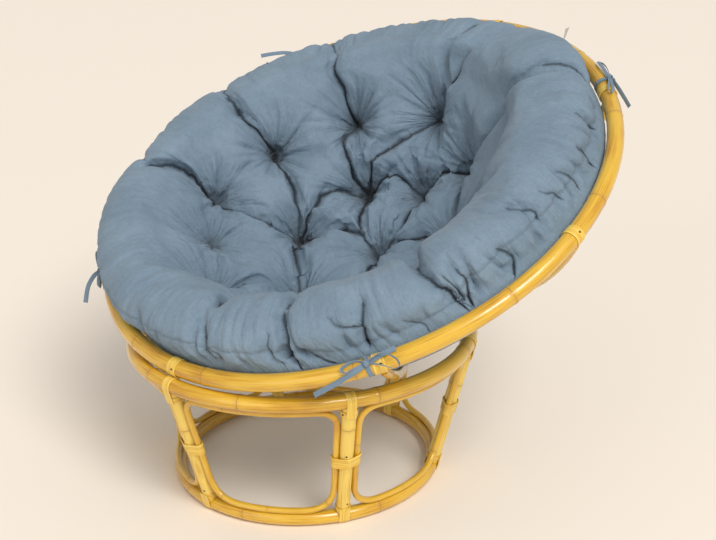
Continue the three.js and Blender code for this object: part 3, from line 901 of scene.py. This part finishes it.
# %% Remesh and blow up as cloth
def cloth_places(points):
    """Place on the unrolled cloth of each point, and its reach from the middle of the top."""
    tree = KDTree(len(form_points))
    for i, point in enumerate(form_points):
        tree.insert(point, i)
    tree.balance()
    places = []
    for point in points:
        near = tree.find_n(point, 4)
        weights = np.array([1 / (gap + 1e-4) ** 2 for _, _, gap in near])
        places.append((form_cloth[[i for _, i, _ in near]] * weights[:, None]).sum(0) / weights.sum())
    return np.array(places)


def evened(piece, values, rounds):
    """Each value drawn to the mean of its neighbours, which takes out small steps."""
    ends = np.zeros(len(piece.data.edges) * 2, np.int32)
    piece.data.edges.foreach_get("vertices", ends)
    first, second = ends.reshape(-1, 2).T
    count = np.bincount(ends, minlength=len(values))[:, None]
    for _ in range(rounds):
        total = np.zeros_like(values)
        np.add.at(total, first, values[second])
        np.add.at(total, second, values[first])
        values = 0.4 * values + 0.6 * total / count
    return values


def held_weights(cloth):
    """How firmly each point is held while the cushion is blown up."""
    held = unit((cloth[:, 2] - (seam_reach + 0.006)) / 0.008)
    on_top = cloth[:, 2] < seam_reach
    for _, line in fold_lines:
        gap, _ = gap_to_line(cloth[:, :2], line)
        held = np.maximum(held, 0.10 * (np.abs(gap) < 0.007) * on_top)
    for spot in tuft_spots:
        held = np.maximum(held, unit(1.8 - gaps_to(cloth[:, :2], spot) / 0.009) * on_top)
    return held


def blow_up(piece, held, caps):
    """Runs the cloth for 20 steps under pressure. No point moves further than its cap."""
    group = piece.vertex_groups.new(name="held")
    for i in np.nonzero(held)[0]:
        group.add([int(i)], float(held[i]), "REPLACE")
    before = mesh_points(piece)
    bpy.ops.object.modifier_add(type="CLOTH")
    cloth = piece.modifiers[-1]
    fabric = cloth.settings
    fabric.quality, fabric.mass, fabric.air_damping = 5, 0.25, 2.0
    fabric.tension_stiffness = fabric.compression_stiffness = 12
    fabric.shear_stiffness, fabric.bending_stiffness = 4, 0.10
    fabric.vertex_group_mass, fabric.pin_stiffness = "held", 1.0
    fabric.use_pressure, fabric.uniform_pressure_force = True, 4
    fabric.shrink_min = -0.05
    fabric.effector_weights.gravity = 0
    cloth.collision_settings.use_collision = False
    for step in range(1, 21):
        bpy.context.scene.frame_set(step)
    bpy.ops.object.modifier_apply(modifier=cloth.name)
    bpy.context.scene.frame_set(1)
    moved = mesh_points(piece) - before
    size = np.linalg.norm(moved, axis=1)
    put_points(piece, before + moved * np.minimum(1, caps / np.maximum(size, 1e-9))[:, None])
    piece.vertex_groups.clear()
    return size


cushion.data.remesh_voxel_size = 0.008
bpy.ops.object.voxel_remesh()
cloth = evened(cushion, cloth_places(mesh_points(cushion)), 10)
put_points(cushion, evened(cushion, mesh_points(cushion), 2))
keep(cushion, "cloth", cloth)
print("remeshed to", len(cloth), "points")
cap_reaches = (0, 0.14, 0.22, 0.36, crest_reach, *(seam_reach + past for past in (0, 0.015, 0.03)))
cap_sizes = (0.006, 0.010, 0.022, 0.019, 0.007, 0.006, 0.001, 0)
caps = np.interp(cloth[:, 2], cap_reaches, cap_sizes)
size = blow_up(cushion, held_weights(cloth), caps)
print("cloth moved", round(float(size.mean()), 4), "and at most", round(float(size.max()), 4))

# %% [markdown]
# One subdivision makes the patches fine enough for what a needle does: sharp folds, small gathers
# round each tuft and a seam with its row of stitches. They are pressed in along the normals, and
# their depth is kept as a crease shade attribute, which the finish paints darker: painted shade in
# the folds, the gathers and the seam pinches, and a darker seam line.

# %% Press in the folds, gathers and seam
draw = np.random.default_rng(4)


def ridges(angle):
    """Rounded ridges with sharp valleys between them, from 0 in a valley to 1."""
    return np.abs(np.sin(angle / 2)) ** 0.7


def tuft_gathers(away):
    """Uneven radial valleys round a tuft, and the eye of the tuft itself."""
    gap, turn = np.linalg.norm(away, axis=1), np.arctan2(away[:, 1], away[:, 0])
    valley = np.zeros(len(away))
    for count, deep in ((7, 0.9), (11, 0.8), (17, 0.7), (26, 0.4)):
        twist, start, uneven = draw.uniform(-14, 14), draw.uniform(0, 6.28), draw.uniform(0, 6.28)
        strength = deep * (0.55 + 0.45 * np.sin(turn * 2 + uneven))
        valley += strength * (1 - ridges(turn * count + start + gap * twist)) ** 1.5
    return valley * bell(gap - 0.020, 0.078), bell(gap, 0.010)


def seam_gathers(turn, reach):
    """Short valleys that cross the seam, and long shallow ones over the roll."""
    short, long = np.zeros(len(turn)), np.zeros(len(turn))
    for count in (53, 83, 127):
        start, uneven = draw.uniform(0, 6.28), draw.uniform(0, 6.28)
        short += (1 - ridges(turn * count + start)) * unit(np.sin(turn * 9 + uneven))
    for count, often in ((41, 5), (67, 7), (103, 11), (149, 13)):
        start, uneven, bend = draw.uniform(0, 6.28), draw.uniform(0, 6.28), draw.uniform(-9, 9)
        here = unit(np.sin(turn * often + reach * 11 + uneven))
        long += (1 - ridges(turn * count + start + reach * bend)) * here
    short_depth = 0.0066 * bell(reach - seam_reach, 0.030)
    return short_depth * short + 0.0032 * bell(reach - crest_reach, 0.075) * long


def seam_pinches(turn, reach):
    """Short creases that cross the seam, each of its own length and slant."""
    pinch, above_seam = np.zeros(len(turn)), seam_reach - reach
    for start in range(0, 360, 7):
        middle, slanting = math.radians(start + draw.uniform(-3, 3)), draw.uniform(-0.4, 0.4)
        above, below = draw.uniform(0.02, 0.11), draw.uniform(0.010, 0.030)
        deep, wide = draw.uniform(0.2, 1), draw.uniform(0.0040, 0.0075)
        beside = (turn - middle + math.pi) % (2 * math.pi) - math.pi
        gap = beside * seam_reach - slanting * above_seam
        along = np.where(above_seam > 0, above_seam / above, -above_seam / below)
        share = np.exp(-np.abs(gap / wide) ** 1.4) * unit(1 - along) ** 0.6
        pinch = np.maximum(pinch, deep * share)
    return pinch


def wavy_gap(spots, line):
    """Distance to a fold that wanders a little to both sides of its line, and the share along it."""
    gap, share = gap_to_line(spots, line)
    return gap + 0.0016 * np.sin(share * 7 + line[0, 0] * 70), share


# The seam rises and falls round the cushion: turns in degrees and heights in millimetres.
seam_turns = (0, 12, 31, 40, 56, 63, 69, 80, 95, 118, 138, 150, 190, 222, 233, 245, 290, 310)
seam_turns += (317, 324, 330, 360)
seam_heights = (60, 56, 39, 23, 24, 27, 46, 53, 44, 28, 20, 34, 40, 38, 27, 40, 45, 40, 27, 42, 58, 60)
# Painted shade: the folds, the tuft gathers and the seam pinches are painted darker with these widths and
# shares; the seam line is darkened too.
groove_depth, groove_gentle, groove_steep, fold_shade_width = 0.0135, 0.0105, 0.0065, 0.0040
valley_depth, eye_depth, stitch_depth, pinch_depth = 0.0115, 0.008, 0.0020, 0.0160
valley_shade, stitch_tint, pinch_shade = 0.15, 0.36, 0.9


def press_details(piece, cloth):
    """Presses all of them in. Returns how creased each point is, as a share of painted shade, and its
    distance to the seam.
    """
    normals = np.zeros(len(piece.data.vertices) * 3, np.float32)
    piece.data.vertex_normals.foreach_get("vector", normals)
    normals = normals.reshape(-1, 3).astype(float)
    spots, reach = cloth[:, :2], cloth[:, 2]
    turn = np.arctan2(spots[:, 0], -spots[:, 1])
    on_top = unit((seam_reach + 0.022 - reach) / 0.012)
    depth, crease = np.zeros(len(cloth)), np.zeros(len(cloth))
    for fold_depth, line in fold_lines:
        gap, share = wavy_gap(spots, line)
        strength = min(1, fold_depth / 0.016) * (1 - 0.4 * share)
        width = np.where(gap > 0, groove_gentle, groove_steep)
        depth = np.maximum(depth, groove_depth * strength * np.exp(-np.abs(gap / width) ** 1.5))
        # Painted shade along the fold.
        crease = np.maximum(crease, strength * bell(gap, fold_shade_width))
    for spot in tuft_spots:
        valley, eye = tuft_gathers(spots - spot)
        depth += valley_depth * valley + eye_depth * eye
        # Painted shade in the eye of the tuft and in its gathers.
        crease = np.maximum(crease, np.maximum(eye, valley_shade * unit(valley)))
    seam_line = seam_reach - (np.interp(np.degrees(turn) % 360, seam_turns, seam_heights) - 28) / 1000
    seam_gap = np.abs(reach - seam_line)
    pinch = seam_pinches(turn, reach)
    depth += seam_gathers(turn, reach) + stitch_depth * bell(seam_gap, 0.004) + pinch_depth * pinch
    # A darker seam line, and painted shade in the pinches.
    seam_line_and_pinch_shade = np.maximum(stitch_tint * bell(seam_gap, 0.0028), pinch_shade * pinch**2)
    crease = np.maximum(crease, seam_line_and_pinch_shade)
    put_points(piece, mesh_points(piece) - normals * (depth * on_top)[:, None])
    return crease * on_top, seam_gap


def finish_guides(spots):
    """For the finish: distance to the nearest fold and its strength, for a painted shade line, and the
    pull towards a tuft.
    """
    fold, near = np.full(len(spots), 0.012), np.zeros(len(spots))
    for fold_depth, line in fold_lines:
        gap, share = wavy_gap(spots, line)
        nearer = np.abs(gap) < np.abs(fold)
        fold = np.where(nearer, gap, fold)
        strength = min(1, fold_depth / 0.012) * (1 - 0.5 * share)
        near = np.where(nearer, unit(1 - np.abs(gap) / 0.010) * strength, near)
    away = spots[:, None] - tuft_spots[None]
    size = np.linalg.norm(away, axis=2)
    nearest = size.argmin(1)
    gap, next_gap = np.partition(size, 1, axis=1)[:, :2].T
    pull = away[np.arange(len(spots)), nearest] / np.maximum(gap, 1e-4)[:, None]
    gathered = unit(1 - gap / 0.160) ** 1.4 * unit((next_gap - gap) / 0.045)
    return fold, near, np.column_stack([pull, gathered])


bpy.ops.object.modifier_add(type="SUBSURF")
cushion.modifiers[-1].levels = cushion.modifiers[-1].render_levels = 1
bpy.ops.object.modifier_apply(modifier=cushion.modifiers[-1].name)
cloth = np.zeros(len(cushion.data.vertices) * 3, np.float32)
cushion.data.attributes["cloth"].data.foreach_get("vector", cloth)
cloth = cloth.reshape(-1, 3).astype(float)
spots, reach = cloth[:, :2], cloth[:, 2]
crease, seam_gap = press_details(cushion, cloth)
fold, near, pull = finish_guides(spots)
keep(cushion, "crease", crease)
keep(cushion, "fold", np.column_stack([fold, near, seam_gap]))
keep(cushion, "pull", pull)
outward = spots / np.maximum(gaps_to(spots, 0), 1e-4)[:, None]
keep(cushion, "around", np.column_stack([outward, reach]))
print("cushion", len(cushion.data.polygons), "patches, crease up to", round(float(crease.max()), 2))

# %% [markdown]
# The cover is a plain woven cotton, slate blue. The weave runs over the unrolled cloth in both
# directions, and on the underside over the bowl.

# %% Make the cotton and dress the cushion
woven = {"Sheen_Roughness": 0.45, "Specular_IOR_Level": 0.22}
cotton = Finish("cotton_slate", Sheen_Weight=0.10, Roughness=0.88, **woven)
spread = cotton.read("cloth")
threads = cotton.noise(cotton.stretch(spread, (900, 90, 1)), detail=2)
cross_threads = cotton.noise(cotton.stretch(spread, (90, 900, 1)), detail=2)
cloudy = cotton.noise(cotton.stretch(spread, (9, 9, 1)), detail=3)
crinkle = cotton.noise(cotton.stretch(spread, (45, 45, 1), (3, 5, 0)), detail=4, roughness=0.6)
pull = cotton.read("pull")
gathered = cotton.part(pull, "Z")
fine_pull = cotton.noise(cotton.stretch(pull, (5.5, 5.5, 1.3)), detail=3, roughness=0.6)
around = cotton.read("around")
reach = cotton.part(around, "Z")
on_roll = ((reach - 0.44) * 9).held()
fine_roll = cotton.noise(cotton.stretch(around, (26, 26, 7)), detail=3, roughness=0.62)
fold = cotton.read("fold")
# A thin line along each fold, for the painted shade below.
line = (1 - abs(cotton.part(fold, "X")) * 300).held() * cotton.part(fold, "Y")
stitch = (1 - cotton.part(fold, "Z") * 700).held() * (1 - abs(reach - seam_reach) * 20).held()
shade_in_creases = cotton.read("crease", "Fac")
tone = (cloudy * 0.45 + threads * 0.3 + cross_threads * 0.3 + crinkle * 0.12 - 0.09).held()
slate_tones = [(0.25, (0.128, 0.190, 0.255)), (0.50, (0.187, 0.262, 0.342))]
slate_tones.append((0.78, (0.262, 0.350, 0.438)))
colour = cotton.ramp(tone, slate_tones)
# Painted shade: the creases are painted darker, and the cloth round each tuft a little.
colour = cotton.blend((shade_in_creases * 0.50 + gathered * 0.02).held(), colour, (0.030, 0.046, 0.068, 1))
# Painted shade: the fold lines are painted near black, and the seam line is darkened.
colour = cotton.blend((line * 1.5 + stitch * 0.35).held(), colour, (0.012, 0.018, 0.026, 1))
cotton.paint(Base_Color=colour)
height = crinkle * 0.30 + fine_pull * gathered * 2.4 + fine_roll * on_roll * 0.8
height = height + threads * 0.05 + cross_threads * 0.05 - line * 0.8
cotton.rough_up(height, 0.010, 0.75)

set_down(cushion, bowl_place)
bpy.ops.object.shade_smooth()
dress(cushion, cotton.material, "bowl", ["cushion"])
points = mesh_points(cushion)
print("cushion box", rounded(points.min(0)), rounded(points.max(0)))

# %% [markdown]
# ## Ties and tag
# Four flat cotton tapes hold the cushion to the rim, each with a band round the pole, a knot, two
# loops, two tails and a short lead from the cushion. A tape is a path curve, extruded to its width
# and bevelled to its thickness, and a tilt at each point turns its flat side. A bow is given by its
# turn along the rim, by the angle that lifts its outward direction, and by its runs of tape: places
# in millimetres from the pole's middle along the rim, across it and outward, a width and the tilts.
# The bare white tag is sewn on the same way.

# %% Lay tapes
tape = Finish("cotton_tape", Sheen_Weight=0.30, Roughness=0.86, **woven)
ribs_of_tape = tape.noise(tape.stretch(tape.read("straight"), (1500, 700, 700)), detail=2)
tape_tones = [(0.3, (0.120, 0.180, 0.250)), (0.7, (0.225, 0.308, 0.400))]
tape.paint(Base_Color=tape.ramp(ribs_of_tape, tape_tones))
tape.rough_up(ribs_of_tape, 0.0004, 0.5)


def lay_tape(spots, width, tilts, thick=1.0):
    """A tape through the spots. Tilt 0 stands its width outward, and 90 lays it flat."""
    path = smooth_chain(spots, 6) / 1000
    run, points = path_curve(path, closed=False)
    shares = np.linspace(0, 1, len(path))
    for point, tilt in zip(points, np.interp(shares, np.linspace(0, 1, len(tilts)), tilts)):
        point.tilt = math.radians(tilt)
    run.data.twist_mode = "Z_UP"
    run.data.extrude = (width - thick) / 2000
    run.data.bevel_depth = thick / 2000
    run.data.bevel_resolution = 1
    return as_mesh(path, closed=False)


def tie_knot(height):
    """A core with one turn of tape over it."""
    bpy.ops.mesh.primitive_uv_sphere_add(segments=20, ring_count=12, radius=0.0060)
    core = bpy.context.object
    core.data.transform(Matrix.Translation((0, 0, height)) @ Matrix.Diagonal((1.1, 0.95, 0.8, 1)))
    bpy.ops.object.shade_smooth()
    turn = peel_run(circle_outline(0.0062, 28, 0.9), 0.0075, 0.0013, 0)
    askew = Matrix.Rotation(0.35, 4, "Z") @ turned(90, "Y")
    turn.data.transform(Matrix.Translation((0, 0, height)) @ askew)
    return [core, turn]


def rim_frame(turn, lifted):
    """Frame on the rim's middle: x along the rim, y across it, z outward and lifted."""
    turn, lifted = math.radians(turn), math.radians(lifted)
    outward = Vector(ring_spot(math.cos(lifted), turn, math.sin(lifted)))
    along = Vector((math.cos(turn), math.sin(turn), 0))
    axes = Matrix((along, outward.cross(along), outward)).transposed().to_4x4()
    return Matrix.Translation(ring_spot(rim_radius, turn, -rim_drop)) @ axes


print("tape ready")

# %% Tie the four bows
bows = {
    1: (43.0, 60, [
        ([(0, 0, 21), (-17, 8, 24), (-36, 5, 24), (-43, 1, 21),
          (-38, -5, 20), (-22, -2, 21), (-5, -1, 21)], 6, (20, 40, 20)),
        ([(3, 1, 22), (24, 8, 26), (40, 2, 27), (51, -8, 25),
          (53, -19, 21), (44, -22, 20), (26, -11, 21), (6, -1, 21)], 6, (20, -35, 20)),
        ([(5, 1, 21), (28, 8, 19), (52, 13, 15)], 10, (65, 85, 90)),
        ([(-3, -1, 21), (-22, -9, 23), (-60, -15, 9), (-104, -18, -9)], 10, (60, 95, 80)),
        ([(1, 3, 19), (-3, 12, 19), (-8, 24, 12)], 5, (20, 0)),
        ([(-3, 3, 19), (-1, 12, 19), (1, 24, 12)], 5, (0, 30)),
    ]),
    2: (138.0, 45, [
        ([(0, 2, 22), (30, 6, 24), (54, 6, 22), (63, 0, 20),
          (53, -7, 22), (28, -5, 24), (0, -2, 22)], 7, (40, 60, 40)),
        ([(0, 1, 22), (-24, 9, 21), (-46, 15, 17), (-55, 12, 17),
          (-45, 6, 20), (-22, 3, 22), (0, -1, 22)], 6, (50, 70, 40)),
        ([(-2, -1, 22), (-24, -8, 21), (-48, -19, 15), (-70, -30, 8)], 9, (20, 5, 10)),
        ([(3, -2, 21), (14, -16, 18), (20, -34, 6), (16, -50, -4)], 9, (60, 90, 90)),
        ([(-2, 3, 19), (-8, 12, 16), (-12, 24, 6)], 5, (20, 0)),
    ]),
    3: (233.0, 60, [
        ([(0, 1, 22), (20, 6, 26), (40, 5, 27), (46, -1, 25),
          (38, -6, 24), (18, -4, 23), (0, -1, 22)], 6, (30, 50, 30)),
        ([(0, 1, 22), (-20, 7, 25), (-38, 5, 24), (-43, -2, 22),
          (-34, -8, 21), (-16, -4, 22), (0, -1, 22)], 6, (30, 50, 30)),
        ([(3, 0, 23), (26, 2, 37), (52, 2, 46), (80, 0, 53)], 9, (30, 25, 15)),
        ([(-2, -2, 22), (-16, -18, 19), (-26, -38, 8), (-30, -58, -8)], 9, (60, 90, 90)),
        ([(2, 3, 19), (4, 12, 18), (6, 24, 10)], 5, (20, 0)),
    ]),
    4: (317.0, 30, [
        ([(0, 1, 22), (-13, 12, 29), (-27, 20, 32), (-35, 17, 29),
          (-26, 8, 25), (-10, 1, 23), (0, -1, 22)], 6, (30, 60, 30)),
        ([(0, 1, 22), (14, -3, 25), (29, -10, 25), (33, -16, 22),
          (24, -17, 20), (10, -8, 21), (0, -1, 22)], 6, (30, 50, 30)),
        ([(2, -1, 23), (9, -8, 34), (25, -24, 44), (50, -44, 47)], 9, (20, 10, 0)),
        ([(-2, -2, 22), (-8, -16, 22), (-8, -34, 17), (-2, -50, 12)], 9, (60, 90, 90)),
        ([(-2, 3, 20), (-4, 14, 16), (-6, 26, 8)], 5, (20, 0)),
    ]),
}
for i, (turn, lifted, runs) in bows.items():
    outline = circle_outline(rim_thick / 2 + 0.0010)
    band = peel_run(outline, width=0.0085, thick=0.0012, shift=0)
    band.data.transform(turned(90, "Y"))
    tie = join_as(f"tie_{i}", [band, *tie_knot(0.0215), *[lay_tape(*run) for run in runs]])
    set_down(tie, bowl_place @ rim_frame(turn, lifted))
    dress(tie, tape.material, "bowl", [f"cushion_tie_{i}"])
    print(tie.name, len(tie.data.polygons), "faces")

# %% Sew on the tag
tag_cloth = Finish("tag_white", Base_Color=(0.62, 0.63, 0.62, 1), Roughness=0.8)
tag_run = [(14, 27, -21), (11, 42, -17), (6, 58, -10), (2, 74, -3)]
tag = lay_tape(tag_run, width=12, tilts=(90, 40, 15), thick=0.7)
tag.name = "tag_bare"
set_down(tag, bowl_place @ rim_frame(152, 0))
dress(tag, tag_cloth.material, "bowl", ["cushion_tag"])
print("tag", rounded(mesh_points(tag).mean(0)))

# %% [markdown]
# ## Nails
# Small iron nails hold the ends of the peel: three on each post and one on each rim binding. A
# head is a flattened sphere, made once, copied to its places and joined to one piece for each body.

# %% Drive the nails
iron = Finish("nail_iron", Base_Color=(0.05, 0.036, 0.026, 1), Metallic=0.5, Roughness=0.45)
bpy.ops.mesh.primitive_uv_sphere_add(segments=12, ring_count=8, radius=0.0021)
head = bpy.context.object
head.data.transform(Matrix.Diagonal((1, 1, 0.5, 1)))
bpy.ops.object.shade_smooth()


def drive_nails(name, places, body):
    heads = []
    for place, outward in places:
        nail = copy_of(head, name)
        facing = outward.to_track_quat("Z", "Y").to_matrix().to_4x4()
        set_down(nail, Matrix.Translation(place) @ facing)
        heads.append(nail)
    nails = join_as(name, heads)
    nails.data.materials.clear()
    nails.data.materials.append(iron.material)
    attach(nails, body)
    print(name, len(places))


# Along the post, sideways round it and proud of it, for the top, middle and foot nail.
post_nails = [(slant - 0.026, -1.0, 0.0022), (slant / 2 + 0.0140, -0.25, 0.0002), (0.033, 0.35, 0.0)]
on_posts = []
for i in range(6):
    turn = math.radians(60 * i)
    for along, sideways, proud in post_nails:
        away = Vector(ring_spot(1, turn + sideways))
        middle_of_post = base_place @ Vector(cone_point(turn, along))
        on_posts.append((middle_of_post + away * (post_radius_at(along) + proud), away))
drive_nails("nails_base", on_posts, "base")
on_rim, on_peel = [], Matrix.Translation((0.004, 0, rim_thick / 2 + 0.0017))
for i in range(8):
    place = bowl_place @ rim_frame(45 * i, 38) @ on_peel
    on_rim.append((place.translation, place.to_3x3() @ Vector((0, 0, 1))))
drive_nails("nails_bowl", on_rim, "bowl")
bpy.data.objects.remove(head)

# %% [markdown]
# ## Floor and light
# A plain pale floor, a wide soft sun from the upper right, a small lamp beside it for the glints,
# a faint low sun in front that reaches under the bowl, and a cream surround. The standard view
# keeps the colours as painted.

# %% Lay the floor and hang the lights
bpy.ops.mesh.primitive_plane_add(size=60, location=(0, 0, 0))
floor = bpy.context.object
floor.name = "floor"
floor_finish = Finish("floor_cream", Base_Color=(0.95, 0.875, 0.785, 1), Roughness=0.9)
floor.data.materials.append(floor_finish.material)

world = bpy.data.worlds.new("surround")
world.use_nodes = True
background = world.node_tree.nodes["Background"]
background.inputs["Color"].default_value = (1.0, 0.965, 0.92, 1)
background.inputs["Strength"].default_value = 0.55
bpy.context.scene.world = world
bpy.context.scene.view_settings.view_transform = "Standard"

light_target = Vector((0, -0.1, 0.4))
lights = {
    "overhead": ("SUN", (1.9, -0.7, 2.5), (1.0, 0.97, 0.93), 1.64, "angle", math.radians(30)),
    "glint": ("AREA", (2.4, -1.0, 2.6), (1.0, 0.97, 0.93), 14, "size", 0.9),
    "low_fill": ("SUN", (0.2, -3.0, 1.15), (1.0, 0.98, 0.95), 0.45, "angle", math.radians(40)),
}
for name, (kind, place, colour, energy, softness, value) in lights.items():
    bpy.ops.object.light_add(type=kind, location=place)
    light = bpy.context.object
    light.name = name
    light.data.color, light.data.energy = colour, energy
    setattr(light.data, softness, value)
    light.rotation_euler = (light_target - Vector(place)).to_track_quat("-Z", "Y").to_euler()
print("lights", *lights)
